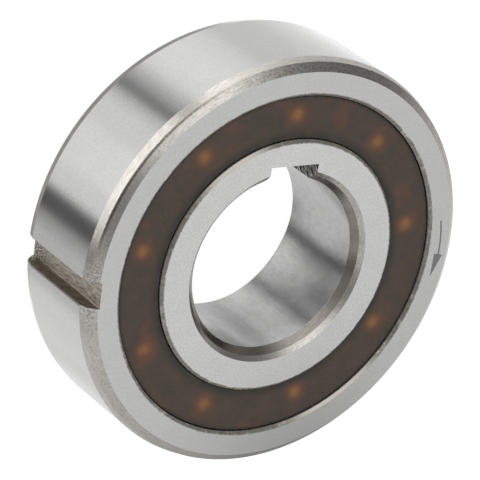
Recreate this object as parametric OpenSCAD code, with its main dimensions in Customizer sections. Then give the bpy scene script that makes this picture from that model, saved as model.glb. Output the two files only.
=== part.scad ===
// Sprag clutch built into a ball bearing of the 62 series
// Two keyed steel rings run on a row of balls. Behind the balls a row of sprags
// lets the inner ring turn one way only. A plastic cage in two halves spaces
// both rows, and its front web closes the gap between the rings.
// The axis is Z, the back face lies on z = 0 and the marked front face looks up.

/* [Rings] */
// Outside diameter of the outer ring
outside_diameter = 47; // [44:0.5:50]
// Diameter of the shaft bore
bore_diameter = 20; // [18:0.5:22]
// Width of both rings, face to face
ring_width = 14; // [12.6:0.2:16]
// Radial wall of the outer ring, from its outside to its shoulder
outer_wall = 3.9; // [3.6:0.1:4.4]
// Radial wall of the inner ring, from the bore to its shoulder
inner_wall = 4.6; // [4.2:0.1:5]
// Radial depth of the corners at the bore and the outside
corner_depth = 1.17; // [0.8:0.01:1.3]
// Length of the outside corner along the axis
outside_corner_length = 1.75; // [1.5:0.05:2.1]
// Where its two facets meet, as a share of that length
outside_break_length = 0.57; // [0.5:0.01:0.65]
// The same point, as a share of the corner's depth
outside_break_depth = 0.24; // [0.2:0.01:0.4]
// Length of the bore corner along the axis
bore_corner_length = 1.3; // [1.1:0.05:1.5]
// Where its two facets meet, as a share of that length
bore_break_length = 0.65; // [0.6:0.01:0.7]
// The same point, as a share of the corner's depth
bore_break_depth = 0.56; // [0.45:0.01:0.59]
// Small edge on the shoulders and tracks
edge_break = 0.25; // [0.15:0.05:0.3]

/* [Keyways] */
// Width of the keyway in the bore
keyway_width = 6; // [5:0.5:6]
// Depth of that keyway, from the bore to its flat bottom
keyway_depth = 1.7; // [1.2:0.1:1.8]
// Angle of the bore keyway, and of the first ball
keyway_angle = 87; // [0:1:359]
// Width of the slot in the outside
slot_width = 3; // [2:0.5:4]
// Depth of that slot, from the outside to its flat bottom
slot_depth = 1.5; // [1:0.1:1.6]
// Angle of the outside slot
slot_angle = 180; // [0:1:359]

/* [Balls] */
// Number of balls
ball_count = 9; // [8:1:9]
// Depth of the ball grooves below the shoulders
groove_depth = 0.675; // [0.55:0.025:0.8]
// Radius of the grooves, as a share of the ball's diameter
groove_share = 0.52; // [0.51:0.01:0.54]
// Running clearance between a ball and each groove
ball_clearance = 0.04; // [0.04:0.01:0.06]

/* [Sprags] */
// Depth of the sprag tracks below the shoulders
track_depth = 0.5; // [0.4:0.05:0.6]
// Thickness of a sprag, across its flanks
sprag_thickness = 3; // [2.6:0.1:3]
// Radius of the cam at each end, as a share of the space between the tracks
cam_share = 0.57; // [0.54:0.01:0.62]
// Angle about the ring axis from a sprag's middle to each point of contact
grip_angle = 0.62; // [0.5:0.02:0.7]
// Lean of the flanks, inner end forward
sprag_lean = 8; // [4:1:8]
// Tilt by which a sprag lets go
release_tilt = 5; // [3:1:5]
// Depth of the waist in each flank
waist_depth = 0.4; // [0.2:0.1:0.5]
// Radius of that waist
waist_radius = 1.6; // [1.4:0.1:2]
// Clearance between a sprag and each track
track_clearance = 0.04; // [0.04:0.01:0.06]
// Clearance between a sprag and its window
window_clearance = 0.05; // [0.05:0.01:0.08]

/* [Cage] */
// How far the cage's front lies below the ring faces
front_recess = 0.4; // [0.35:0.05:0.6]
// How far its back lies inside the back face
back_recess = 0.7; // [0.5:0.1:0.9]
// Radial gap from the ball cage to the ring shoulders
cage_gap = 0.06; // [0.06:0.02:0.3]
// Radial gap from the sprag cage to the sprag tracks
sprag_cage_gap = 0.4; // [0.3:0.05:0.5]
// Thickness of the web in front of each ball
web_thickness = 0.6; // [0.5:0.1:0.7]
// Clearance between a ball and its pocket
pocket_clearance = 0.06; // [0.05:0.01:0.1]
// How far the claws of the pockets reach past the ball centres
claw_length = 1.65; // [1.2:0.05:1.8]
// Thickness of the two rims that close the sprag windows
rim_thickness = 0.6; // [0.5:0.05:0.65]
// Side of the square posts that carry the sprag cage
post_side = 2; // [1.6:0.1:2]
// Diameter of the peg at the end of each post
peg_diameter = 1.2; // [1:0.1:1.3]
// Length of that peg
peg_length = 1.3; // [1:0.1:1.3]
// Clearance around the peg in its socket
peg_clearance = 0.02; // [0.02:0.01:0.04]
// Room left under the end of each peg
socket_spare = 0.1; // [0.05:0.05:0.2]
// How far a post stands in from the rim of the ball cage
post_inset = 0.05; // [0.05:0.05:0.1]
// Gap between the balls and the sprag cage
ball_to_sprag_cage = 0.2; // [0.2:0.05:0.3]
// How far the sprag tracks run on past the sprag cage
track_run = 0.35; // [0.2:0.05:0.4]
// Small edge on the visible sides of both halves
cage_edge = 0.1; // [0.05:0.05:0.2]

/* [Garter spring] */
// Outside diameter of the spring's coil
coil_diameter = 1; // [0.8:0.05:1]
// Depth of the coil's centre below the outer track, as a share of that space
spring_share = 0.225; // [0.2:0.005:0.235]
// Clearance around the coil in its groove
coil_clearance = 0.05; // [0.05:0.01:0.1]

/* [Hidden] */
$fn = 96;
// An overshoot for cutters, so that no two faces coincide
over = 1;

ball_angles = [for (i = [0:ball_count - 1]) keyway_angle + i * 360 / ball_count];
// Two sprags to a ball, so that each post of the cage stands between two windows
sprag_count = 2 * ball_count;
sprag_angles = [for (i = [0:sprag_count - 1]) keyway_angle + (i + 0.5) * 360 / sprag_count];

outside_r = outside_diameter / 2;
bore_r = bore_diameter / 2;

// The rings leave a gap, and the balls and sprags fill it and reach into both
outer_shoulder_r = outside_r - outer_wall;
inner_shoulder_r = bore_r + inner_wall;
shoulder_gap = outer_shoulder_r - inner_shoulder_r;
pitch_r = (outer_shoulder_r + inner_shoulder_r) / 2;
ball_r = shoulder_gap / 2 + groove_depth;
outer_track_r = outer_shoulder_r + track_depth;
inner_track_r = inner_shoulder_r - track_depth;
sprag_space = outer_track_r - inner_track_r;

// The ball row hangs from the front: recess, web, pocket
pocket_r = ball_r + pocket_clearance;
cage_front = ring_width - front_recess;
ball_z = cage_front - web_thickness - pocket_r;
claw_z = ball_z - claw_length;
groove_r = groove_share * 2 * ball_r;
groove_centre = groove_r - ball_r - ball_clearance;

// The sprag row fills what is left behind the balls
sprag_cage_front = ball_z - ball_r - ball_to_sprag_cage;
sprag_cage_back = back_recess;
window_front = sprag_cage_front - rim_thickness;
window_back = sprag_cage_back + rim_thickness;
sprag_z = (window_front + window_back) / 2;
sprag_length = window_front - window_back - 2 * window_clearance;
track_end = sprag_cage_front + track_run;

cam_radius = cam_share * sprag_space;
inner_cam_r = inner_track_r + track_clearance + cam_radius;
outer_cam_r = outer_track_r - track_clearance - cam_radius;
// The corners between cam and flank swing furthest as a sprag tilts, and a
// window leaves them room on both sides
cam_shift = outer_cam_r * sin(grip_angle);
cam_half_width = sprag_thickness / 2 - cam_shift;
flank_reach = outer_cam_r - pitch_r + sqrt(pow(cam_radius, 2) - pow(cam_half_width, 2));
full_lean = sprag_lean + release_tilt;
half_room = flank_reach * sin(full_lean) + sprag_thickness / 2 * cos(full_lean);
window_width = 2 * (half_room + window_clearance);

// The spring rides in a groove that crosses the outer ends of the sprags. Its
// floor is deeper in a sprag, which rises at one flank as the sprag tilts.
spring_r = outer_track_r - spring_share * sprag_space;
cage_floor_r = spring_r - coil_diameter / 2 - coil_clearance;
sprag_floor_r = cage_floor_r - sprag_thickness / 2 * sin(release_tilt);
spring_groove_width = coil_diameter + 2 * coil_clearance;

cage_outer_r = outer_shoulder_r - cage_gap;
cage_inner_r = inner_shoulder_r + cage_gap;
post_r = cage_outer_r - post_inset - post_side / 2;
socket_depth = peg_length + socket_spare;
socket_diameter = peg_diameter + 2 * peg_clearance;

// Half section of the outer ring, without its grooves and corners
module outer_blank() {
    translate([outer_shoulder_r, 0])
        square([outside_r - outer_shoulder_r, ring_width]);
}

// Half section of the inner ring, without its grooves and corners
module inner_blank() {
    translate([bore_r, 0])
        square([inner_shoulder_r - bore_r, ring_width]);
}

// What a corner of two facets takes off at the front. side is 1 at the
// outside, where the corner falls outward, and -1 at the bore.
module corner_cut(edge_r, side, length, break_length, break_depth) {
    away = edge_r + side * over;
    low = ring_width - length;
    high = ring_width + over;
    break_r = edge_r - side * break_depth * corner_depth;
    polygon([
        [edge_r, low],
        [break_r, low + break_length * length],
        [edge_r - side * corner_depth, ring_width],
        [edge_r - side * corner_depth, high],
        [away, high],
        [away, low]
    ]);
}

// The same corner at the front and the back
module both_corners(edge_r, side, length, break_length, break_depth) {
    corner_cut(edge_r, side, length, break_length, break_depth);
    translate([0, ring_width])
        mirror([0, 1])
            corner_cut(edge_r, side, length, break_length, break_depth);
}

// A small edge where a face meets a cylinder, as wide as it is deep
module edge_cut(edge_r, z, size) {
    translate([edge_r, z])
        rotate(45)
            square(size * sqrt(2), center = true);
}

// The ball groove's section, side 1 for the outer ring and -1 for the inner
module groove_cut(side) {
    translate([pitch_r - side * groove_centre, ball_z])
        circle(groove_r);
}

// The space between the two sprag tracks, open to the back
module track_cut() {
    translate([inner_track_r, -over])
        square([sprag_space, track_end + over]);
}

// A groove along the whole width with a flat bottom, at its own angle
module key_cut(angle, width, near, far) {
    rotate(angle)
        translate([near, -width / 2, -over])
            cube([far - near, width, ring_width + 2 * over]);
}

module outer_ring() {
    color("#c4c4c6")
        difference() {
            rotate_extrude()
                difference() {
                    outer_blank();
                    both_corners(outside_r, 1, outside_corner_length,
                        outside_break_length, outside_break_depth);
                    edge_cut(outer_shoulder_r, ring_width, edge_break);
                    edge_cut(outer_track_r, 0, edge_break);
                    groove_cut(1);
                    track_cut();
                }
            key_cut(slot_angle, slot_width, outside_r - slot_depth, outside_r + over);
        }
}

module inner_ring() {
    color("#c8c8ca")
        difference() {
            rotate_extrude()
                difference() {
                    inner_blank();
                    both_corners(bore_r, -1, bore_corner_length,
                        bore_break_length, bore_break_depth);
                    edge_cut(inner_shoulder_r, ring_width, edge_break);
                    edge_cut(inner_track_r, 0, edge_break);
                    groove_cut(-1);
                    track_cut();
                }
            key_cut(keyway_angle, keyway_width, 0, bore_r + keyway_depth);
        }
}

// A ring from radius inside to radius outside, between two heights
module band(inside, outside, low, high) {
    rotate_extrude()
        translate([inside, low])
            square([outside - inside, high - low]);
}

// Such a ring for the cage, with its visible face at height shown
module cage_band(inside, outside, low, high, shown) {
    rotate_extrude()
        difference() {
            translate([inside, low])
                square([outside - inside, high - low]);
            edge_cut(inside, shown, cage_edge);
            edge_cut(outside, shown, cage_edge);
        }
}

// The front half of the cage: a web, pockets open to the back, and a post
// with a peg between each pair of balls
module ball_cage() {
    color("#4a3a30")
        union() {
            difference() {
                cage_band(cage_inner_r, cage_outer_r, claw_z, cage_front, cage_front);
                for (angle = ball_angles)
                    rotate(angle)
                        translate([0, 0, ball_z])
                            rotate([0, 90, 0])
                                cylinder(h = outer_track_r, r = pocket_r);
            }
            for (angle = ball_angles)
                rotate(angle + 180 / ball_count)
                    cage_post();
        }
}

// One post, from the claws down to the sprag cage, and the peg below it
module cage_post() {
    translate([post_r - post_side / 2, -post_side / 2, sprag_cage_front])
        cube([post_side, post_side, claw_z - sprag_cage_front + over]);
    translate([post_r, 0, sprag_cage_front - peg_length])
        cylinder(h = peg_length + over, d = peg_diameter);
}

// The back half of the cage: a window for each sprag, a groove for the
// garter spring and a socket for each peg
module sprag_cage() {
    color("#43352c")
        difference() {
            cage_band(inner_track_r + sprag_cage_gap, outer_track_r - sprag_cage_gap,
                sprag_cage_back, sprag_cage_front, sprag_cage_back);
            for (angle = sprag_angles)
                rotate(angle)
                    translate([inner_track_r, -window_width / 2, window_back])
                        cube([sprag_space, window_width, window_front - window_back]);
            spring_groove(cage_floor_r);
            for (angle = ball_angles)
                rotate(angle + 180 / ball_count)
                    translate([post_r, 0, sprag_cage_front - socket_depth])
                        cylinder(h = socket_depth + over, d = socket_diameter);
        }
}

// The room that the garter spring takes in the sprags and in the cage
module spring_groove(floor_r) {
    band(floor_r, outer_track_r + over,
        sprag_z - spring_groove_width / 2, sprag_z + spring_groove_width / 2);
}

module garter_spring() {
    color("#9a9a98")
        rotate_extrude()
            translate([spring_r, sprag_z])
                circle(d = coil_diameter);
}

module ball(i) {
    color("#d8d8da")
        rotate(ball_angles[i - 1])
            translate([pitch_r, 0, ball_z])
                sphere(r = ball_r);
}

// The outline of a sprag that lies on the X axis. The cam that bears on the
// inner ring sits forward of the other one, so that a push backward on the
// inner end stands the sprag up and wedges it between the tracks.
module sprag_outline() {
    difference() {
        intersection() {
            rotate(grip_angle)
                translate([inner_cam_r, 0])
                    circle(cam_radius);
            rotate(-grip_angle)
                translate([outer_cam_r, 0])
                    circle(cam_radius);
            translate([pitch_r, 0])
                rotate(-sprag_lean)
                    square([2 * sprag_space, sprag_thickness], center = true);
        }
        translate([pitch_r, 0])
            rotate(-sprag_lean)
                for (flank = [-1, 1])
                    translate([0, flank * (sprag_thickness / 2 - waist_depth + waist_radius)])
                        circle(waist_radius);
    }
}

module sprag(i) {
    color("#8e8e90")
        difference() {
            rotate(sprag_angles[i - 1])
                translate([0, 0, sprag_z - sprag_length / 2])
                    linear_extrude(sprag_length)
                        sprag_outline();
            spring_groove(sprag_floor_r);
        }
}

outer_ring();
inner_ring();
ball_cage();
sprag_cage();
garter_spring();
for (i = [1:ball_count]) ball(i);
for (i = [1:sprag_count]) sprag(i);
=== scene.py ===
# %% [markdown]
# # A sprag clutch, dressed for its photograph
#
# A sprag clutch is a bearing that turns one way only. This one is two keyed steel
# rings on a row of balls, with a row of sprags behind them and a brown plastic
# cage that fills the gap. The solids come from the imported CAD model, in metres,
# with the axis on Z and the back face on the floor. What is made here is the
# studio, the camera, the finishes, the wound garter spring and the arrow.

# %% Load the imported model
import math

import bmesh
import bpy
from mathutils import Matrix, Vector


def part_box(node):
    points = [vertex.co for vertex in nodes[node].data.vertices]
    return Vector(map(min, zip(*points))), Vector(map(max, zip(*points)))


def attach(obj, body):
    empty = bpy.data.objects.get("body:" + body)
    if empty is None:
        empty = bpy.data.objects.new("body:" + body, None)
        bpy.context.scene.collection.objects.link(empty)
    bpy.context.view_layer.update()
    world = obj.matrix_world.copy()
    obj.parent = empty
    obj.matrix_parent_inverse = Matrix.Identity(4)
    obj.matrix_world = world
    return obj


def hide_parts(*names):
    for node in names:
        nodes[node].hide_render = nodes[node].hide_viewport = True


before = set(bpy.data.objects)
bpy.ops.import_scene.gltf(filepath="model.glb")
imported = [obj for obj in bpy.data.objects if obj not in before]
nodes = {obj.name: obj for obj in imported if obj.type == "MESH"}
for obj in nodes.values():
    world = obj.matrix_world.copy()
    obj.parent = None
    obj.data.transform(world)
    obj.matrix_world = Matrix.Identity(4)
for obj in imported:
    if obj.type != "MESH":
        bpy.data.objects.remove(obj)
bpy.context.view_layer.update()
MM = 0.001

# %% [markdown]
# ## The sizes that the looks need
#
# The finishes change from face to corner to ground cylinder, so the script needs
# the radii and heights where one machining step ends and the next starts. They
# repeat the named sizes of the CAD source, in millimetres and degrees.

# %% Sizes of the clutch
WIDTH = 14.0
OUTSIDE_R, BORE_R = 23.5, 10.0
OUTER_SHOULDER_R, INNER_SHOULDER_R = 19.6, 14.6
CORNER_DEPTH, OUTSIDE_CORNER, BORE_CORNER = 1.17, 1.75, 1.3
OUTSIDE_BREAK, BORE_BREAK = 0.24 * CORNER_DEPTH, 0.56 * CORNER_DEPTH
EDGE_BREAK = 0.25
KEYWAY_ANGLE, KEYWAY_WIDTH, KEYWAY_DEPTH = 87.0, 6.0, 1.7
SLOT_ANGLE, SLOT_WIDTH, SLOT_DEPTH = 180.0, 3.0, 1.5
BALLS, PITCH_R = 9, 17.1
CAGE_FRONT = 13.6
SPRING_R, SPRING_Z, COIL_DIAMETER = 18.75, 3.545, 1.0

spring_low, spring_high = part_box("garter_spring")
print("spring node spans", [round(v / MM, 3) for v in (*spring_low, *spring_high)])

# %% [markdown]
# ## The camera
#
# A photograph of a round part gives the camera away: the rings show as ellipses,
# and their tilt and the two visible rims fix the direction and the distance.
# The camera is turned about its own line of sight as well, because the clutch
# stands on its rim in the photograph and lies on its back face here. So it is
# built from four plain facts: where it aims, from which azimuth and elevation,
# how far away, and which direction of the plan shows as up.

# %% Camera
AIM = Vector((-0.427, 0.136, 6.949)) * MM
CAMERA_AZIMUTH, CAMERA_ELEVATION = math.radians(142.286), math.radians(48.403)
CAMERA_DISTANCE = 412.97 * MM
PLAN_UP = math.radians(97.406)
SENSOR_WIDTH, FOCAL_LENGTH, NEAREST_SHOWN = 36, 286.7, 0.01

back = Vector((math.cos(CAMERA_ELEVATION) * math.cos(CAMERA_AZIMUTH),
               math.cos(CAMERA_ELEVATION) * math.sin(CAMERA_AZIMUTH),
               math.sin(CAMERA_ELEVATION)))
plan_up = Vector((math.cos(PLAN_UP), math.sin(PLAN_UP), 0))
up = (plan_up - plan_up.dot(back) * back).normalized()
right = up.cross(back)

camera = bpy.data.objects.new("camera", bpy.data.cameras.new("camera"))
bpy.context.scene.collection.objects.link(camera)
bpy.context.scene.camera = camera
camera.data.sensor_width = SENSOR_WIDTH
camera.data.lens = FOCAL_LENGTH
camera.data.clip_start = NEAREST_SHOWN
turn = Matrix((right, up, back)).transposed().to_4x4()
camera.matrix_world = Matrix.Translation(AIM + back * CAMERA_DISTANCE) @ turn
print("camera at", tuple(round(v / MM, 1) for v in camera.matrix_world.translation), "mm")

# %% [markdown]
# ## A short way to wire nodes
#
# Every finish below is a small net of nodes. Written out one node at a time, it
# would hide its own idea. So a number that nodes work out is kept as a Number
# here, and plain sums with it add the Math nodes: a * b + 1 is two nodes.

# %% Numbers that nodes work out
def add_node(tree, kind, **settings):
    node = tree.nodes.new(kind)
    for name, value in settings.items():
        setattr(node, name, value)
    return node


def feed(socket, value):
    """Joins a Number or a node's output to a socket, or sets a plain value on it."""
    if isinstance(value, Number):
        value = value.socket
    if isinstance(value, bpy.types.NodeSocket):
        socket.id_data.links.new(value, socket)
    elif socket.type == "RGBA":
        socket.default_value = (*value, 1.0)
    else:
        socket.default_value = value


def work_out(operation, *values, clamp=False):
    """A Math node, in the tree of the first Number among its values."""
    tree = next(value.socket.id_data for value in values if isinstance(value, Number))
    node = add_node(tree, "ShaderNodeMath", operation=operation, use_clamp=clamp)
    for socket, value in zip(node.inputs, values):
        feed(socket, value)
    return Number(node.outputs[0])


class Number:
    def __init__(self, socket):
        self.socket = socket

    def __add__(self, other):
        return work_out("ADD", self, other)

    def __sub__(self, other):
        return work_out("SUBTRACT", self, other)

    def __rsub__(self, other):
        return work_out("SUBTRACT", other, self)

    def __mul__(self, other):
        return work_out("MULTIPLY", self, other)

    def __truediv__(self, other):
        return work_out("DIVIDE", self, other)

    def __abs__(self):
        return work_out("ABSOLUTE", self)


print("a Number takes + - * / and abs")

# %% [markdown]
# Two more helpers do most of the work in a finish. rise is a soft step, which
# makes a mask out of a size or a noise, and a blend lets a mask choose between
# two numbers or two colours.

# %% Masks and blends
def rise(value, low, high):
    """0 below low, 1 above high and smooth between them; low > high falls instead."""
    node = add_node(value.socket.id_data, "ShaderNodeMapRange", interpolation_type="SMOOTHSTEP")
    for socket, number in zip(node.inputs, (value, low, high, 0.0, 1.0)):
        feed(socket, number)
    return Number(node.outputs[0])


def within(value, low, high, edge):
    return rise(value, low - edge, low + edge) * rise(value, high + edge, high - edge)


def blend_numbers(share, first, second):
    node = add_node(share.socket.id_data, "ShaderNodeMix", data_type="FLOAT")
    for index, value in zip((0, 2, 3), (share, first, second)):
        feed(node.inputs[index], value)
    return Number(node.outputs[0])


def blend_colours(share, first, second):
    node = add_node(share.socket.id_data, "ShaderNodeMix", data_type="RGBA")
    for index, value in zip((0, 6, 7), (share, first, second)):
        feed(node.inputs[index], value)
    return node.outputs[2]


def new_material(name):
    material = bpy.data.materials.new(name)
    material.use_nodes = True
    tree = material.node_tree
    print("new material:", name)
    return material, tree, tree.nodes["Principled BSDF"]


# %% [markdown]
# ## The studio
#
# Ground steel has hardly a colour of its own: what it shows is the room. In the
# photograph that room is a white tent with two bright panels and some dark gaps,
# and each gap comes back as a dark streak along the ground outside and again in
# the bore. Cards of black foam around the part would do this too. The world does
# it here with soft cards painted on the sky by azimuth and elevation, so the
# streaks are true reflections: they stay where they belong in every view.

# %% A soft card on the sky
world = bpy.data.worlds.new("studio_tent")
bpy.context.scene.world = world
world.use_nodes = True
sky = world.node_tree
sky.nodes.clear()
direction = add_node(sky, "ShaderNodeSeparateXYZ")
feed(direction.inputs[0], add_node(sky, "ShaderNodeTexCoord").outputs["Generated"])
east, north, upward = (Number(socket) for socket in direction.outputs)
sky_azimuth = work_out("DEGREES", work_out("ARCTAN2", north, east))
sky_elevation = work_out("DEGREES", work_out("ARCSINE", upward))


def soft_card(so_far, azimuth, elevation, half_width, half_height, edge, level):
    """Blends level into the light so far, over a soft rectangle of the sky in degrees."""
    aside = abs(work_out("WRAP", sky_azimuth - azimuth, 180.0, -180.0))
    above = abs(sky_elevation - elevation)
    across = rise(aside, half_width + edge, max(half_width - edge, 0.0))
    along = rise(above, half_height + edge, max(half_height - edge, 0.0))
    return blend_numbers(across * along, so_far, level)


print("the sky is read by azimuth and elevation, in degrees")

# %% [markdown]
# Each card has its azimuth and elevation, half its width and height, the width
# of its soft edge, and its level. A later card lies over the earlier ones. The
# outside shows the sky at twice a point's own azimuth less the camera's, about
# 48 degrees below the horizon, which tells where a card for a streak must hang.

# %% The cards of the tent
TENT = 1.0
CARDS = {
    "light under the left": (38, -59, 18, 27, 7, 0.87),
    "side of the front gap": (222, -6, 9, 69, 11, 0.42),
    "front panel": (153, -20, 13, 30, 4, 1.34),
    "left panel": (92, -19, 34, 7, 24, 1.98),
    "upper panel": (81, 15, 14, 63, 18, 1.42),
    "second gap": (110, -40, 8, 40, 9, 0.50),
    "edge of the second gap": (112.5, -40, 3, 40, 3, 0.27),
    "fold beside the front gap": (197, -25, 9, 60, 10, 0.50),
    "dark room": (32, 10, 45, 39, 24, 0.16),
    "dark ceiling": (169, 45, 32, 28, 20, 0.22),
    "front gap": (188, -25, 7, 60, 4, 0.12),
    "near table": (299, 3, 65, 44, 16, 0.55),
    "dark edge of the table": (295, -15, 21, 29, 4, 0.47),
    "light under the right": (330, -56, 34, 24, 24, 1.36),
    "dark corner of the table": (306, -21, 13, 26, 9, 0.27),
    "band under the right": (357, -38, 23, 10, 4, 0.58),
    "foot of the near table": (284, -50, 10, 8, 5, 0.86),
    "behind the part": (322, -48, 11, 16, 8, 0.50),
    "under the part": (0, -88, 180, 28, 4, 0.37),
}
light = TENT
for card, numbers in CARDS.items():
    light = soft_card(light, *numbers)
print(len(CARDS), "soft cards on a tent of", TENT)

# %% [markdown]
# A strength of 1 is white. The camera sees plain white behind the part, as in the
# photograph. Metal and glass see the same white tent with its cards, so Light
# Path's glossy and transmission rays get those. What is left are the rays that
# light matt things, and for them the whole tent is one soft, plain level.

# %% White behind the part
SOFT_LIGHT, WHITE = 1.0, 1.0
rays = add_node(sky, "ShaderNodeLightPath").outputs
mirrored = work_out("MAXIMUM", Number(rays["Is Glossy Ray"]), Number(rays["Is Transmission Ray"]))
strength = blend_numbers(mirrored, SOFT_LIGHT, light)
strength = blend_numbers(Number(rays["Is Camera Ray"]), strength, WHITE)
tent = add_node(sky, "ShaderNodeBackground")
feed(tent.inputs["Color"], (1, 1, 1))
feed(tent.inputs["Strength"], strength)
feed(add_node(sky, "ShaderNodeOutputWorld").inputs[0], tent.outputs[0])
bpy.context.scene.view_settings.view_transform = "Standard"
print("matt things get", SOFT_LIGHT, "and the walls of the tent shine with", TENT)

# %% [markdown]
# ## The floor
#
# The part lies on a plain pale floor that keeps a light contact shadow. A glass
# table in a tent behaves like this: light also reaches the part from below, so
# the floor is left out of the reflections and doesn't darken the back. Seen from
# underneath it is clear, so that the back of the clutch can be looked at.

# %% Floor
FLOOR_HALF, FLOOR_Z = 0.6, -5e-5
FLOOR_PAINT, FLOOR_GLOW = (0.24, 0.24, 0.24), 0.91

floor_mesh = bpy.data.meshes.new("floor")
floor_mesh.from_pydata([(-FLOOR_HALF, -FLOOR_HALF, FLOOR_Z), (FLOOR_HALF, -FLOOR_HALF, FLOOR_Z),
                        (FLOOR_HALF, FLOOR_HALF, FLOOR_Z), (-FLOOR_HALF, FLOOR_HALF, FLOOR_Z)],
                       [], [(0, 1, 2, 3)])
floor = bpy.data.objects.new("floor", floor_mesh)
bpy.context.scene.collection.objects.link(floor)
floor.visible_glossy = floor.visible_diffuse = floor.visible_shadow = False

floor_paint, tree, principled = new_material("pale_floor")
tree.nodes.remove(principled)
matt = add_node(tree, "ShaderNodeBsdfDiffuse")
feed(matt.inputs["Color"], FLOOR_PAINT)
glow = add_node(tree, "ShaderNodeEmission")
seen = Number(add_node(tree, "ShaderNodeLightPath").outputs["Is Camera Ray"])
feed(glow.inputs["Strength"], seen * FLOOR_GLOW)
both = add_node(tree, "ShaderNodeAddShader")
feed(both.inputs[0], matt.outputs[0])
feed(both.inputs[1], glow.outputs[0])
sided = add_node(tree, "ShaderNodeMixShader")
feed(sided.inputs[0], add_node(tree, "ShaderNodeNewGeometry").outputs["Backfacing"])
feed(sided.inputs[1], both.outputs[0])
feed(sided.inputs[2], add_node(tree, "ShaderNodeBsdfTransparent").outputs[0])
feed(tree.nodes["Material Output"].inputs["Surface"], sided.outputs[0])
floor.data.materials.append(floor_paint)
print("floor", 2 * FLOOR_HALF, "m square")

# %% [markdown]
# ## Small cards near the part
#
# The sky alone can't tell places apart that face the same way, but a card close to
# the part can. A photographer calls a grey one a gel: it dims what is seen through
# it. Here each is a soft disc, even in the middle and fading towards its rim, and
# only reflections see it.

# %% A card near the part
SPOKES, FADED_AT = 48, 0.95


def near_card(name, centre, radius, let_through, glow, even):
    """A soft disc that dims what shines through it and adds its own glow: in full
    up to the share of its radius that even gives, and not at all at FADED_AT."""
    mesh = bpy.data.meshes.new(name)
    turns = [math.tau * i / SPOKES for i in range(SPOKES)]
    mesh.from_pydata([(radius * MM * math.cos(t), radius * MM * math.sin(t), 0) for t in turns],
                     [], [tuple(range(SPOKES))])
    card = bpy.data.objects.new(name, mesh)
    card.location = Vector(centre) * MM
    bpy.context.scene.collection.objects.link(card)
    card.visible_camera = card.visible_diffuse = card.visible_shadow = False

    paint, tree, principled = new_material(name)
    tree.nodes.remove(principled)
    away = add_node(tree, "ShaderNodeVectorMath", operation="LENGTH")
    feed(away.inputs[0], add_node(tree, "ShaderNodeTexCoord").outputs["Object"])
    share = rise(Number(away.outputs["Value"]), radius * MM * FADED_AT, radius * MM * even)
    clear = add_node(tree, "ShaderNodeBsdfTransparent")
    feed(clear.inputs["Color"], blend_colours(share, (1.0, 1.0, 1.0), (let_through,) * 3))
    shine = add_node(tree, "ShaderNodeEmission")
    feed(shine.inputs["Strength"], share * glow)
    both = add_node(tree, "ShaderNodeAddShader")
    feed(both.inputs[0], clear.outputs[0])
    feed(both.inputs[1], shine.outputs[0])
    feed(tree.nodes["Material Output"].inputs["Surface"], both.outputs[0])
    mesh.materials.append(paint)
    print(name, "lets", let_through, "through and adds", glow)


# %% [markdown]
# One gel hangs over the lower rim, so that the front face dims a little towards
# it, and one in the bore dims its front on one side. The others lie under the
# bore, where its reflections lead: a white card for its near side, a wide gel
# and two narrow ones for its streaks, and three paler ones for its sides.

# %% Hang the near cards
NEAR_CARDS = {
    "gel_over_the_lower_rim": ((23.0, -42.0, 40.0), 22.0, 0.50, 0.0, 0.10),
    "gel_in_the_bore": ((1.6, -2.6, 4.0), 5.0, 0.60, 0.0, 0.10),
    "white_card_under_the_bore": ((-5.0, -15.6, -12.0), 10.0, 0.0, 0.95, 0.80),
    "wide_gel_under_the_bore": ((-11.0, 7.0, -12.0), 13.0, 0.36, 0.0, 0.10),
    "gel_for_the_dark_streak": ((-8.8, -2.0, -12.0), 5.0, 0.30, 0.0, 0.10),
    "gel_for_the_soft_streak": ((-2.5, 7.0, -12.0), 4.0, 0.45, 0.0, 0.10),
    "gel_on_the_far_side": ((13.5, 3.5, -12.0), 8.0, 0.62, 0.0, 0.10),
    "gel_on_the_near_side": ((7.0, 8.0, -12.0), 7.0, 0.72, 0.0, 0.10),
    "gel_past_the_far_side": ((18.0, -7.0, -12.0), 6.0, 0.66, 0.0, 0.10),
}
for card, numbers in NEAR_CARDS.items():
    near_card(card, *numbers)

# %% [markdown]
# ## Where a point lies on the part
#
# All finishes follow the machining, so they read a point's place in millimetres:
# its radius from the axis, its height and its azimuth. Object coordinates give
# it, and they turn with the part.

# %% Places on the part
class Facts:
    """Facts of one thing, each read by its name."""
    def __init__(self, **facts):
        for name, fact in facts.items():
            setattr(self, name, fact)


def vector_of(x, y, z):
    """A vector from three numbers, the first of them a Number."""
    node = add_node(x.socket.id_data, "ShaderNodeCombineXYZ")
    for socket, value in zip(node.inputs, (x, y, z)):
        feed(socket, value)
    return node.outputs[0]


def round_place(x, y):
    """Radius from the axis and azimuth in degrees."""
    return work_out("SQRT", x * x + y * y), work_out("DEGREES", work_out("ARCTAN2", y, x))


def place_on_part(tree):
    scaled = add_node(tree, "ShaderNodeVectorMath", operation="SCALE")
    feed(scaled.inputs[0], add_node(tree, "ShaderNodeTexCoord").outputs["Object"])
    feed(scaled.inputs["Scale"], 1 / MM)
    parts = add_node(tree, "ShaderNodeSeparateXYZ")
    feed(parts.inputs[0], scaled.outputs[0])
    x, y, z = (Number(socket) for socket in parts.outputs)
    radius, azimuth = round_place(x, y)
    return Facts(point=scaled.outputs[0], x=x, y=y, z=z, r=radius, azimuth=azimuth)


def towards(place, azimuth):
    """1 on that side of the part, 0 a quarter turn from it and -1 opposite."""
    return work_out("COSINE", work_out("RADIANS", place.azimuth - azimuth))


print("places are read in mm and degrees")

# %% [markdown]
# A tool leaves its marks along its own path, so most marks are noise that is
# drawn out that way: slow along the path and fast across it. On a cone height
# and radius change together, and a slope tells how.

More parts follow.
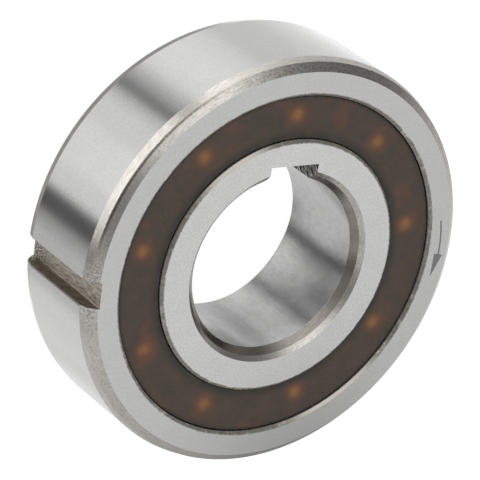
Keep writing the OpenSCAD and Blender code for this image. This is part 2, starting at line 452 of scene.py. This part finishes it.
# %% Noise and relief
def cloud(vector, scale, detail=2.0, roughness=0.5):
    """Plain noise about 0.5, at a scale in features per unit of the vector."""
    node = add_node(vector.id_data, "ShaderNodeTexNoise")
    for name, value in (("Vector", vector), ("Scale", scale),
                        ("Detail", detail), ("Roughness", roughness)):
        feed(node.inputs[name], value)
    return Number(node.outputs[0])


def turned_lines(place, slope, along, across):
    """Noise drawn out round the axis, as a lathe tool leaves it."""
    path = place.z + place.r * slope
    drawn_out = vector_of(place.x * along, place.y * along, path * across)
    return cloud(drawn_out, 1.0, detail=3.0, roughness=0.6)


def bumpy(shader, height, depth):
    """Relief, where depth is the height in metres that a change of 1 stands for."""
    node = add_node(shader.id_data, "ShaderNodeBump")
    feed(node.inputs["Strength"], 1.0)
    feed(node.inputs["Distance"], depth)
    feed(node.inputs["Height"], height)
    feed(shader.inputs["Normal"], node.outputs[0])


def tinted(colour, mask, share, other):
    """Lays a share of another colour over this one, where the mask allows."""
    return blend_colours(mask * share, colour, other)


print("noise, relief and tints are ready")

# %% [markdown]
# ## Ring steel
#
# Both rings are through-hardened steel. The cylinders are ground last, round the
# axis, and shine; the faces are ground flat to a finer, even grey. The corners
# are left as turned before hardening: two warm cones each, speckled, with painted
# shade along the crease where they meet. The keyway and the slot are broached,
# dark and streaked along the cut. First come the zones: one mask for each machined
# place. A ring's side is +1 where its mating cylinder is the outside and -1 where
# it is the bore.

# %% Zones that are turned and ground
# painted shade along the crease between the facets: it is darkest on this side
CREASE_SHADE_SIDE = 141.0
RAGGED_SCALE, RAGGED_REACH = 2.6, 0.3


def turned_zones(place, ring):
    top = WIDTH / 2
    height = abs(place.z - top)
    depth = (ring.mating_r - place.r) * ring.side
    corner = (within(depth, 0.01, CORNER_DEPTH + 0.01, 0.01)
              * within(height, top - ring.corner, top - 0.005, 0.004))
    near_facet = corner * rise(depth, ring.break_depth, ring.break_depth - 0.02)
    # painted shade along the crease where the two facets meet
    crease_shade = corner * within(depth, ring.break_depth + 0.04, ring.break_depth + 0.24, 0.06)

    # the shoulder's edge is ragged: noise moves its border in and out
    ragged = (cloud(place.point, RAGGED_SCALE, detail=3.0, roughness=0.7) - 0.5) * RAGGED_REACH
    to_shoulder = ragged + abs(place.r - ring.shoulder_r)
    edge = (rise(to_shoulder, EDGE_BREAK + 0.16, EDGE_BREAK + 0.04)
            * rise(height, top - 0.55, top - 0.15))
    return Facts(
        height=height, corner=corner, near_facet=near_facet, far_facet=corner - near_facet,
        crease_shade=crease_shade * rise(towards(place, CREASE_SHADE_SIDE), 0.86, 0.97),
        mating=rise(depth, 0.02, 0.005), face=rise(height, top - 0.01, top - 0.002),
        edge=edge, burr_side=rise(towards(place, ring.burr_azimuth), 0.93, 0.995))


print("the line between the facets is deepest at azimuth", CREASE_SHADE_SIDE)

# %% [markdown]
# The groove for the key needs a frame of its own, turned to the groove's angle:
# along it points out of the ring through the middle of the groove, and across it
# goes from wall to wall. Beside the groove lie a dark lip on the mating cylinder
# and a stretch of corner that the broach battered, and its back end is torn.

# %% Zones of the groove
LIP_WIDTH = 0.24
BATTERED_IN_FULL, BATTERED_NO_MORE = 0.4, 3.2
TORN_FLOOR, TORN_WALL = (5.0, 0.6), (1.3, 0.5)


def groove_zones(place, ring, turned):
    angle, half = math.radians(ring.key_angle), ring.key_width / 2
    along = place.x * math.cos(angle) + place.y * math.sin(angle)
    across = place.y * math.cos(angle) - place.x * math.sin(angle)
    aside = abs(across)
    inward = (along - ring.key_floor) * ring.side
    this_side = rise(along, 0.0, 1.0)

    groove = (rise(aside, half + 0.01, half + 0.002) * rise(inward, -0.03, -0.01)
              * this_side * rise(turned.height, WIDTH / 2, WIDTH / 2 - 0.01))
    wall = groove * rise(inward, 0.02, 0.05)
    return Facts(
        along=along, across=across, groove=groove, wall=wall,
        burr=groove * within(aside, half - 0.2, half - 0.03, 0.05) * rise(inward, 0.05, 0.02),
        lip=this_side * turned.mating * within(across, half, half + LIP_WIDTH, 0.03),
        battered=(this_side * turned.corner
                  * rise(aside, half + BATTERED_NO_MORE, half + BATTERED_IN_FULL)),
        torn=(groove - wall) * rise(place.z, *TORN_FLOOR) + wall * rise(place.z, *TORN_WALL))


print("grooves:", {"keyway": KEYWAY_ANGLE, "slot": SLOT_ANGLE})

# %% [markdown]
# The marks are noises of several sizes, because a ground face that is even up
# close still has strokes and clouds from afar. Turning leaves lines round the
# axis, broaching leaves streaks along it, and the walls of the groove keep
# leaning scratches from the broach's teeth.

# %% Marks that the machining leaves
def ring_marks(place, cut, side):
    streaked = vector_of(cut.across * 5.0, cut.along * 5.0, place.z * 0.9)
    leaning = vector_of((place.z + cut.along) * 4.5, (place.z - cut.along) * 0.5, 0.0)
    return Facts(
        lines=turned_lines(place, -side, 0.35, 9.0),
        speckle=turned_lines(place, -side, 1.1, 6.5),
        streaks=cloud(streaked, 1.0, detail=4.0, roughness=0.65),
        scratches=cloud(leaning, 1.0, detail=3.0, roughness=0.6),
        grain=cloud(place.point, 4.5, detail=3.0, roughness=0.65),
        flecks=cloud(place.point, 2.2, detail=4.0, roughness=0.7),
        wear=cloud(place.point, 0.9, detail=4.0, roughness=0.6),
        clouds=cloud(place.point, 0.6, detail=3.0, roughness=0.55))


print("eight kinds of mark, from grain to clouds")

# %% [markdown]
# The colours lie on top of each other like coats. The first coat is ground
# steel: each cylinder and face has its own grey, with grain, faint clouds, wear
# on the bore and the dark lip beside the groove.

# %% Colours of the ground surfaces
GROUND, GRAIN, CLOUDED = (0.60, 0.598, 0.592), (0.46, 0.456, 0.45), (0.47, 0.47, 0.478)
WORN, LIP = (0.23, 0.226, 0.22), (0.17, 0.135, 0.105)


def ground_colour(turned, cut, marks, ring):
    colour = blend_colours(turned.mating, GROUND, ring.mating)
    colour = blend_colours(turned.face, colour, ring.face)
    colour = tinted(colour, rise(marks.grain, 0.3, 0.7), 0.42, GRAIN)
    colour = tinted(colour, rise(marks.clouds, 0.35, 0.75), 0.12, CLOUDED)
    worn = turned.mating * rise((marks.streaks + marks.wear) * 0.5, 0.42, 0.66)
    colour = tinted(colour, worn, ring.wear, WORN)
    return tinted(colour, cut.lip, 0.85, LIP)


print("ground steel:", GROUND)

# %% [markdown]
# The corner is warmer and speckled. The bore's near facet is darker, apart from
# one stretch of it, and both far facets are pitted, most of all on one side. The
# crease where the facets meet gets painted shade. By the groove the broach left
# bright and dark bruises side by side.

# %% Colours of a turned corner
TURNED, SPECKLE, FLECK = (0.74, 0.71, 0.665), (0.575, 0.54, 0.50), (0.37, 0.34, 0.30)
# MEETING is the dark of the painted crease shade; it also darkens the bore's near facet
MEETING, PIT = (0.14, 0.116, 0.098), (0.22, 0.20, 0.175)
BRIGHT_BRUISE, DARK_BRUISE = (0.92, 0.90, 0.86), (0.30, 0.27, 0.23)
UNDARKENED_SIDE, PITTED_SIDE = 48.0, 82.0


def corner_colour(place, turned, cut, marks, ring):
    colour = blend_colours(rise(marks.speckle, 0.35, 0.70), TURNED, SPECKLE)
    colour = tinted(colour, rise(marks.flecks, 0.54, 0.74), 0.40, FLECK)
    # the bore's near facet is made darker, apart from one stretch of it
    darker_near_facet = turned.near_facet * rise(towards(place, UNDARKENED_SIDE), 0.995, 0.93)
    colour = tinted(colour, darker_near_facet, ring.near_facet_stain, MEETING)
    # painted shade along the crease between the facets
    colour = tinted(colour, turned.crease_shade * rise(marks.grain, 0.22, 0.48), 0.85, MEETING)
    pitting = blend_numbers(rise(towards(place, PITTED_SIDE), 0.85, 0.97), 0.20, 0.60)
    colour = tinted(colour, turned.far_facet * rise(marks.grain, 0.48, 0.62), pitting, PIT)
    bruises = blend_colours(rise(marks.grain, 0.47, 0.55), BRIGHT_BRUISE, DARK_BRUISE)
    return tinted(colour, cut.battered, 0.42, bruises)


print("clean side", UNDARKENED_SIDE, "and pitted side", PITTED_SIDE)

# %% [markdown]
# The edge at each shoulder is dark with oxide and dirt, apart from one side where
# a burr was left bright. The groove is broached: streaked on its floor, scratched
# on its walls, with a burr along its sides and a torn back end.

# %% Colours of the shoulder's edge and the groove
SHOULDER, SHOULDER_DIRT = (0.25, 0.235, 0.205), (0.12, 0.11, 0.095)
SHOULDER_BURR = (0.56, 0.52, 0.455)
BROACHED, BRIGHT_STREAK = (0.36, 0.32, 0.27), (0.82, 0.76, 0.68)
BURR, TORN = (0.75, 0.68, 0.58), (0.060, 0.048, 0.036)


def shoulder_colour(turned, marks):
    colour = blend_colours(rise(marks.flecks, 0.42, 0.78), SHOULDER, SHOULDER_DIRT)
    burr = work_out("MAXIMUM", rise(marks.wear, 0.52, 0.74), turned.burr_side)
    return blend_colours(burr, colour, SHOULDER_BURR)


def groove_colour(cut, marks, ring):
    colour = blend_colours(rise(marks.streaks, 0.35, 0.65), BROACHED, BRIGHT_STREAK)
    wall = blend_colours(rise(marks.scratches, 0.49, 0.57), ring.wall, ring.wall_scratch)
    colour = blend_colours(cut.wall, colour, wall)
    colour = tinted(colour, cut.burr, 0.8, BURR)
    torn = blend_colours(rise(marks.grain, 0.40, 0.54), BURR, TORN)
    return tinted(colour, cut.torn, 0.8, torn)


print("broached steel:", BROACHED, "to", BRIGHT_STREAK)

# %% [markdown]
# Gloss and relief follow the same zones. The cylinders are the smoothest, the
# turned corners have real furrows, and the groove is the roughest. Relief is
# counted in steps of two thousandths of a millimetre.

# %% Gloss and relief of a ring
FACE_GLOSS, RELIEF_STEP = 0.30, 0.002 * MM


def ring_gloss(turned, cut, marks, ring):
    gloss = blend_numbers(turned.face, ring.mating_gloss, FACE_GLOSS)
    gloss = gloss + (marks.grain - 0.5) * 0.12
    coarse = work_out("MAXIMUM", turned.corner, turned.edge)
    gloss = blend_numbers(coarse, gloss, marks.speckle * 0.2 + 0.14)
    return blend_numbers(cut.groove, gloss, marks.streaks * 0.3 + 0.34)


def ring_relief(turned, cut, marks):
    fine = marks.lines * 1.3 + marks.grain
    furrows = marks.lines * 2.0 + marks.flecks * 4.5 + cut.battered * marks.grain * 16.0
    broached = blend_numbers(cut.wall, marks.streaks * 24.0, marks.scratches * 60.0)
    coarse = work_out("MAXIMUM", turned.corner, turned.edge)
    return blend_numbers(cut.groove, blend_numbers(coarse, fine, furrows), broached)


print("one step of relief is", RELIEF_STEP / MM, "mm")

# %% [markdown]
# The whole finish joins these. Grinding goes round the axis, so the highlights
# are drawn out across it: the shader is a little anisotropic, with its tangent
# round Z. The ragged edge at the shoulder is oxide more than bare metal.

# %% Finish of a ring
GRINDING, OXIDE = 0.45, 0.6


def ring_finish(name, **facts):
    ring = Facts(**facts)
    material, tree, steel = new_material(name)
    place = place_on_part(tree)
    turned = turned_zones(place, ring)
    cut = groove_zones(place, ring, turned)
    marks = ring_marks(place, cut, ring.side)

    colour = ground_colour(turned, cut, marks, ring)
    colour = blend_colours(turned.corner, colour, corner_colour(place, turned, cut, marks, ring))
    colour = blend_colours(turned.edge, colour, shoulder_colour(turned, marks))
    colour = blend_colours(cut.groove, colour, groove_colour(cut, marks, ring))
    feed(steel.inputs["Base Color"], colour)
    feed(steel.inputs["Metallic"], 1.0 - turned.edge * OXIDE)
    feed(steel.inputs["Roughness"], ring_gloss(turned, cut, marks, ring))
    feed(steel.inputs["Anisotropic"], GRINDING)
    round_axis = add_node(tree, "ShaderNodeTangent", direction_type="RADIAL", axis="Z")
    feed(steel.inputs["Tangent"], round_axis.outputs[0])
    bumpy(steel, ring_relief(turned, cut, marks), RELIEF_STEP)
    return material


outer_steel = ring_finish(
    "outer_ring_steel", side=1,
    mating_r=OUTSIDE_R, mating=GROUND, mating_gloss=0.11, wear=0.0,
    face=(0.658, 0.655, 0.650),
    corner=OUTSIDE_CORNER, break_depth=OUTSIDE_BREAK, near_facet_stain=0.0,
    shoulder_r=OUTER_SHOULDER_R, burr_azimuth=300.0,
    key_angle=SLOT_ANGLE, key_width=SLOT_WIDTH, key_floor=OUTSIDE_R - SLOT_DEPTH,
    wall=(0.115, 0.098, 0.074), wall_scratch=(0.26, 0.225, 0.18))
inner_steel = ring_finish(
    "inner_ring_steel", side=-1,
    mating_r=BORE_R, mating=(0.465, 0.465, 0.462), mating_gloss=0.20, wear=0.28,
    face=(0.765, 0.763, 0.758),
    corner=BORE_CORNER, break_depth=BORE_BREAK, near_facet_stain=0.6,
    shoulder_r=INNER_SHOULDER_R, burr_azimuth=119.0,
    key_angle=KEYWAY_ANGLE, key_width=KEYWAY_WIDTH, key_floor=BORE_R + KEYWAY_DEPTH,
    wall=(0.075, 0.075, 0.073), wall_scratch=(0.95, 0.95, 0.93))
nodes["outer_ring"].material_slots[0].material = outer_steel
nodes["inner_ring"].material_slots[0].material = inner_steel
print("rings:", outer_steel.name, inner_steel.name)

# %% [markdown]
# ## Cage plastic
#
# The cage is moulded in a brown plastic that lets a little light through. Where
# a polished ball lies close behind the front web, it sends the light back and
# the web glows amber: nine soft spots, one over each ball. Real translucency
# would have to find its way through a thin web and a mirror ball, which is slow
# and grainy. So that reflection is painted: a spot of warmer colour over each
# ball, which travels with the cage as the balls do. Every painted spot sits a
# little beside its ball, towards azimuth 142 where the camera stands, by the
# same small shift.

# %% The painted glint over each ball
SPOT_WIDTH, SPOT_SHIFT = 1.0, (-0.50, 0.39)


def painted_ball_glint(place, mottle):
    """Painted reflection of the balls in the web: 1 at most over a ball, and uneven with the
    mottle.
    """
    radius, azimuth = round_place(place.x - SPOT_SHIFT[0], place.y - SPOT_SHIFT[1])
    step = 360 / BALLS
    from_ball = work_out("WRAP", azimuth - KEYWAY_ANGLE, step / 2, -step / 2)
    sideways = radius * work_out("SINE", work_out("RADIANS", from_ball))
    outward = radius - PITCH_R
    squared = outward * outward + sideways * sideways
    return work_out("EXPONENT", squared / -SPOT_WIDTH ** 2) * (mottle * 0.75 + 0.52)


print(BALLS, "amber spots at radius", PITCH_R)

# %% [markdown]
# Brown plastic is never even: it has a fine grain, a mottle and some redder
# blotches from the moulding. It is darker and greener along both edges, where
# it meets the rings: painted shade with some dust, softly along the inner ring,
# and in a ragged line along the outer one.

# %% Finish of the cage
PALE_BROWN, WARM_BROWN = (0.034, 0.023, 0.014), (0.050, 0.029, 0.018)
BROWN_GRAIN, BLOTCH, DUST_AND_SHADE = (0.080, 0.054, 0.038), (0.105, 0.034, 0.013), (0.008, 0.010, 0.006)
DEEP_AMBER_GLINT, BRIGHT_AMBER_GLINT = (0.165, 0.046, 0.010), (0.215, 0.086, 0.016)
PLASTIC_IOR, MOULDED_RELIEF = 1.5, 0.006 * MM


def cage_finish():
    material, tree, plastic = new_material("cage_brown_plastic")
    place = place_on_part(tree)
    mottle = cloud(place.point, 0.5, detail=4.0, roughness=0.6)
    blotches = cloud(place.point, 0.33, detail=1.0)
    fine = cloud(place.point, 4.0, detail=3.0, roughness=0.65)
    # painted shade with some dust along both edges, where the cage meets the rings
    shade_and_dust_by_inner = (rise(place.r, INNER_SHOULDER_R + 1.4, INNER_SHOULDER_R + 0.15)
                  * rise(mottle, 0.25, 0.55))
    shade_and_dust_by_outer = (rise(place.r, OUTER_SHOULDER_R - 0.6, OUTER_SHOULDER_R - 0.15)
                  * rise(fine, 0.38, 0.58))

    brown = blend_colours(rise(mottle, 0.3, 0.7), PALE_BROWN, WARM_BROWN)
    brown = tinted(brown, rise(fine, 0.35, 0.7), 0.25, BROWN_GRAIN)
    brown = tinted(brown, rise(blotches, 0.54, 0.74), 0.5, BLOTCH)
    brown = tinted(brown, work_out("MAXIMUM", shade_and_dust_by_inner, shade_and_dust_by_outer), 0.9, DUST_AND_SHADE)
    # painted reflection of each ball: an amber spot on the front web
    glow = painted_ball_glint(place, mottle)
    amber = blend_colours(rise(glow, 0.2, 0.9), DEEP_AMBER_GLINT, BRIGHT_AMBER_GLINT)
    on_front = rise(place.z, CAGE_FRONT - 0.05, CAGE_FRONT - 0.01)
    shown = work_out("MULTIPLY", glow, on_front, clamp=True)
    feed(plastic.inputs["Base Color"], blend_colours(shown, brown, amber))
    feed(plastic.inputs["Roughness"], fine * 0.16 + 0.40)
    feed(plastic.inputs["IOR"], PLASTIC_IOR)
    bumpy(plastic, fine * 0.8 + mottle * 3.0, MOULDED_RELIEF)
    return material


cage_plastic = cage_finish()
for cage_half in ("ball_cage", "sprag_cage"):
    nodes[cage_half].material_slots[0].material = cage_plastic
print("cage:", cage_plastic.name, "on both halves")

# %% [markdown]
# ## Balls, sprags and wire
#
# Balls are lapped to a mirror and keep only hair-fine arcs. Sprags are drawn
# bar, hardened and tumbled, so they are darker, with flow lines along their
# length and dulled corners. The spring's wire is drawn too. None of them shows
# from the front, but all do when the clutch is taken apart.

# %% Finish of the rolling parts
def rolling_finish(name, light_colour, dark_colour, scale, stretch, smooth, rough, depth):
    """Steel with noise that is stretched along x, y and z, and a faint stain."""
    material, tree, steel = new_material(name)
    place = place_on_part(tree)
    feed(steel.inputs["Metallic"], 1.0)
    pulled = add_node(tree, "ShaderNodeVectorMath", operation="MULTIPLY")
    feed(pulled.inputs[0], place.point)
    feed(pulled.inputs[1], stretch)
    marks = cloud(pulled.outputs[0], scale, detail=4.0, roughness=0.6)
    stain = cloud(place.point, 0.9, detail=2.0)
    colour = blend_colours(rise(marks, 0.38, 0.68), light_colour, dark_colour)
    colour = tinted(colour, rise(stain, 0.45, 0.75), 0.35, dark_colour)
    feed(steel.inputs["Base Color"], colour)
    feed(steel.inputs["Roughness"], blend_numbers(marks, smooth, rough))
    bumpy(steel, marks, depth * MM)
    return material


ball_steel = rolling_finish("lapped_ball_steel", (0.77, 0.77, 0.775), (0.66, 0.66, 0.665),
                            3.0, (1.0, 1.0, 7.0), 0.04, 0.14, 0.0006)
sprag_steel = rolling_finish("tumbled_sprag_steel", (0.47, 0.465, 0.46), (0.27, 0.265, 0.26),
                             6.0, (1.0, 1.0, 0.15), 0.26, 0.46, 0.006)
wire_steel = rolling_finish("drawn_wire_steel", (0.56, 0.55, 0.53), (0.36, 0.35, 0.33),
                            9.0, (1.0, 1.0, 1.0), 0.24, 0.40, 0.002)
for name, node in nodes.items():
    if name.startswith("ball_") and name != "ball_cage":
        node.material_slots[0].material = ball_steel
    elif name.startswith("sprag_") and name != "sprag_cage":
        node.material_slots[0].material = sprag_steel
print("rolling parts:", ball_steel.name, sprag_steel.name)

# %% [markdown]
# ## The garter spring
#
# A garter spring is a long coil whose ends are joined into a ring. It lies in a
# groove across all sprags and pushes them against the tracks. In the CAD it is a
# plain ring, as thick as the coil. The coil follows a rule, so Geometry Nodes
# wind it: a circle with many points, each moved round the wire's own small
# circle as it goes, and then a thin tube along that path.

# %% A tree that winds the spring
WIRE_SIDES = 5


def spring_tree():
    tree = bpy.data.node_groups.new("wind_garter_spring", "GeometryNodeTree")
    for name, kind in (("Ring radius", "NodeSocketFloat"), ("Height", "NodeSocketFloat"),
                       ("Coil radius", "NodeSocketFloat"), ("Wire radius", "NodeSocketFloat"),
                       ("Turns", "NodeSocketInt"), ("Points", "NodeSocketInt"),
                       ("Wire", "NodeSocketMaterial")):
        tree.interface.new_socket(name, in_out="INPUT", socket_type=kind)
    tree.interface.new_socket("Spring", in_out="OUTPUT", socket_type="NodeSocketGeometry")
    inputs = add_node(tree, "NodeGroupInput").outputs
    given = {socket.name: Number(socket) for socket in inputs if socket.name}

    # every point of the circle goes once round the ring and many times round the coil
    share = Number(add_node(tree, "GeometryNodeInputIndex").outputs[0]) / given["Points"]
    round_ring = share * math.tau
    round_coil = round_ring * given["Turns"]
    out = given["Ring radius"] + given["Coil radius"] * work_out("COSINE", round_coil)
    spot = vector_of(out * work_out("COSINE", round_ring), out * work_out("SINE", round_ring),
                  given["Height"] + given["Coil radius"] * work_out("SINE", round_coil))
    circle = add_node(tree, "GeometryNodeCurvePrimitiveCircle", mode="RADIUS")
    feed(circle.inputs["Resolution"], given["Points"])
    moved = add_node(tree, "GeometryNodeSetPosition")
    feed(moved.inputs["Geometry"], circle.outputs["Curve"])
    feed(moved.inputs["Position"], spot)

    section = add_node(tree, "GeometryNodeCurvePrimitiveCircle", mode="RADIUS")
    feed(section.inputs["Resolution"], WIRE_SIDES)
    feed(section.inputs["Radius"], given["Wire radius"])
    tube = add_node(tree, "GeometryNodeCurveToMesh")
    feed(tube.inputs["Curve"], moved.outputs[0])
    feed(tube.inputs["Profile Curve"], section.outputs[0])
    real = add_node(tree, "GeometryNodeRealizeInstances")
    feed(real.inputs[0], tube.outputs[0])
    smooth = add_node(tree, "GeometryNodeSetShadeSmooth")
    feed(smooth.inputs[0], real.outputs[0])
    painted = add_node(tree, "GeometryNodeSetMaterial")
    feed(painted.inputs["Geometry"], smooth.outputs[0])
    feed(painted.inputs["Material"], given["Wire"])
    feed(add_node(tree, "NodeGroupOutput").inputs[0], painted.outputs[0])
    return tree


winding = spring_tree()
print("winding tree:", len(winding.nodes), "nodes")

# %% [markdown]
# The tree runs once on an empty holder, and its result is kept as a plain mesh.
# The export wants plain meshes, so the tree runs once on an empty holder. The
# holder goes, with its modifier.

# %% Wind the spring
WIRE_DIAMETER, TURNS, POINTS_PER_TURN = 0.2, 470, 10


def made_by_nodes(name, tree, settings):
    holder = bpy.data.objects.new(name + "_holder", bpy.data.meshes.new(name + "_holder"))
    bpy.context.scene.collection.objects.link(holder)
    modifier = holder.modifiers.new("nodes", "NODES")
    modifier.node_group = tree
    for item in tree.interface.items_tree:
        if item.in_out == "INPUT" and item.name in settings:
            modifier[item.identifier] = settings[item.name]
    ready = holder.evaluated_get(bpy.context.evaluated_depsgraph_get())
    mesh = bpy.data.meshes.new_from_object(ready)
    mesh.name = name
    bpy.data.objects.remove(holder)
    piece = bpy.data.objects.new(name, mesh)
    bpy.context.scene.collection.objects.link(piece)
    return piece


spring = made_by_nodes("garter_coil", winding, {
    "Ring radius": SPRING_R * MM, "Height": SPRING_Z * MM,
    "Coil radius": (COIL_DIAMETER - WIRE_DIAMETER) / 2 * MM, "Wire radius": WIRE_DIAMETER / 2 * MM,
    "Turns": TURNS, "Points": TURNS * POINTS_PER_TURN, "Wire": wire_steel})
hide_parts("garter_spring")
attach(spring, "cage")
print("garter spring:", TURNS, "turns,", len(spring.data.polygons), "faces, pitch",
      round(math.tau * SPRING_R / TURNS, 3), "mm")

# %% [markdown]
# ## The arrow
#
# The outer ring carries one generic sign: an arrow that shows which way it may
# turn. It is a shallow laser mark, a thin line that follows the ring and ends in
# a slim head. It could be painted in the ring's material, but a mark of its own
# stays sharp at any size, so it is a very thin solid sunk into the face. The
# outline is written as radius and azimuth, so that it follows the ring.

# %% Outline of the arrow
ARROW_R, ARROW_TAIL, ARROW_NECK, ARROW_TIP = 21.3, 6.6, -4.4, -11.9
OUTER_BARB, INNER_BARB = ARROW_NECK - 0.5, ARROW_NECK + 0.1
LINE_WIDTH, HEAD_WIDTH, LINE_STEPS = 0.20, 1.12, 16
TAIL_BOW, TIP_INWARD = 0.2, 0.33


def arrow_outline():
    length = ARROW_TAIL - ARROW_NECK
    sweep = [ARROW_TAIL + (ARROW_NECK - ARROW_TAIL) * i / LINE_STEPS for i in range(LINE_STEPS + 1)]
    # the line bows a little: its tail lies nearer the bore than its neck
    middle = [ARROW_R - TAIL_BOW * ((a - ARROW_NECK) / length) ** 2 for a in sweep]
    outer = [(r + LINE_WIDTH / 2, a) for r, a in zip(middle, sweep)]
    inner = [(r - LINE_WIDTH / 2, a) for r, a in zip(middle, sweep)]
    head = [(ARROW_R + HEAD_WIDTH / 2, OUTER_BARB), (ARROW_R - TIP_INWARD, ARROW_TIP),
            (ARROW_R - HEAD_WIDTH / 2, INNER_BARB)]
    return outer + head + inner[::-1]


print("arrow outline:", len(arrow_outline()), "points")

# %% [markdown]
# The outline is set at two heights, and a band of faces closes it round. A mesh
# made by hand gets its normals worked out at the end, so that they point outwards.

# %% Make the arrow
MARK_TOP, MARK_BOTTOM = WIDTH + 0.004, WIDTH - 0.03


def polar(radius, azimuth, z):
    angle = math.radians(azimuth)
    return Vector((radius * math.cos(angle), radius * math.sin(angle), z)) * MM


shape = bmesh.new()
rims = []
for z in (MARK_BOTTOM, MARK_TOP):
    rims.append([shape.verts.new(polar(r, a, z)) for r, a in arrow_outline()])
    shape.faces.new(rims[-1])
count = len(rims[0])
for i in range(count):
    j = (i + 1) % count
    shape.faces.new((rims[0][i], rims[0][j], rims[1][j], rims[1][i]))
bmesh.ops.triangulate(shape, faces=[f for f in shape.faces if len(f.verts) > 4])
bmesh.ops.recalc_face_normals(shape, faces=shape.faces)
arrow_mesh = bpy.data.meshes.new("rotation_arrow")
shape.to_mesh(arrow_mesh)
shape.free()
arrow = bpy.data.objects.new("rotation_arrow", arrow_mesh)
bpy.context.scene.collection.objects.link(arrow)
print("arrow:", len(arrow_mesh.polygons), "faces")

# %% [markdown]
# A laser burns the steel to a dull dark grey, a little unevenly.

# %% Finish of the arrow
BURNT, LESS_BURNT = (0.17, 0.17, 0.175), (0.24, 0.235, 0.235)
BURNT_METAL, BURNT_RELIEF = 0.6, 0.004 * MM

arrow_mark, tree, mark = new_material("laser_mark")
burning = cloud(place_on_part(tree).point, 10.0, detail=3.0)
feed(mark.inputs["Base Color"], blend_colours(rise(burning, 0.3, 0.7), BURNT, LESS_BURNT))
feed(mark.inputs["Roughness"], burning * 0.2 + 0.45)
feed(mark.inputs["Metallic"], BURNT_METAL)
bumpy(mark, burning, BURNT_RELIEF)
arrow.data.materials.append(arrow_mark)
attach(arrow, "outer")
print("arrow finish:", arrow_mark.name)
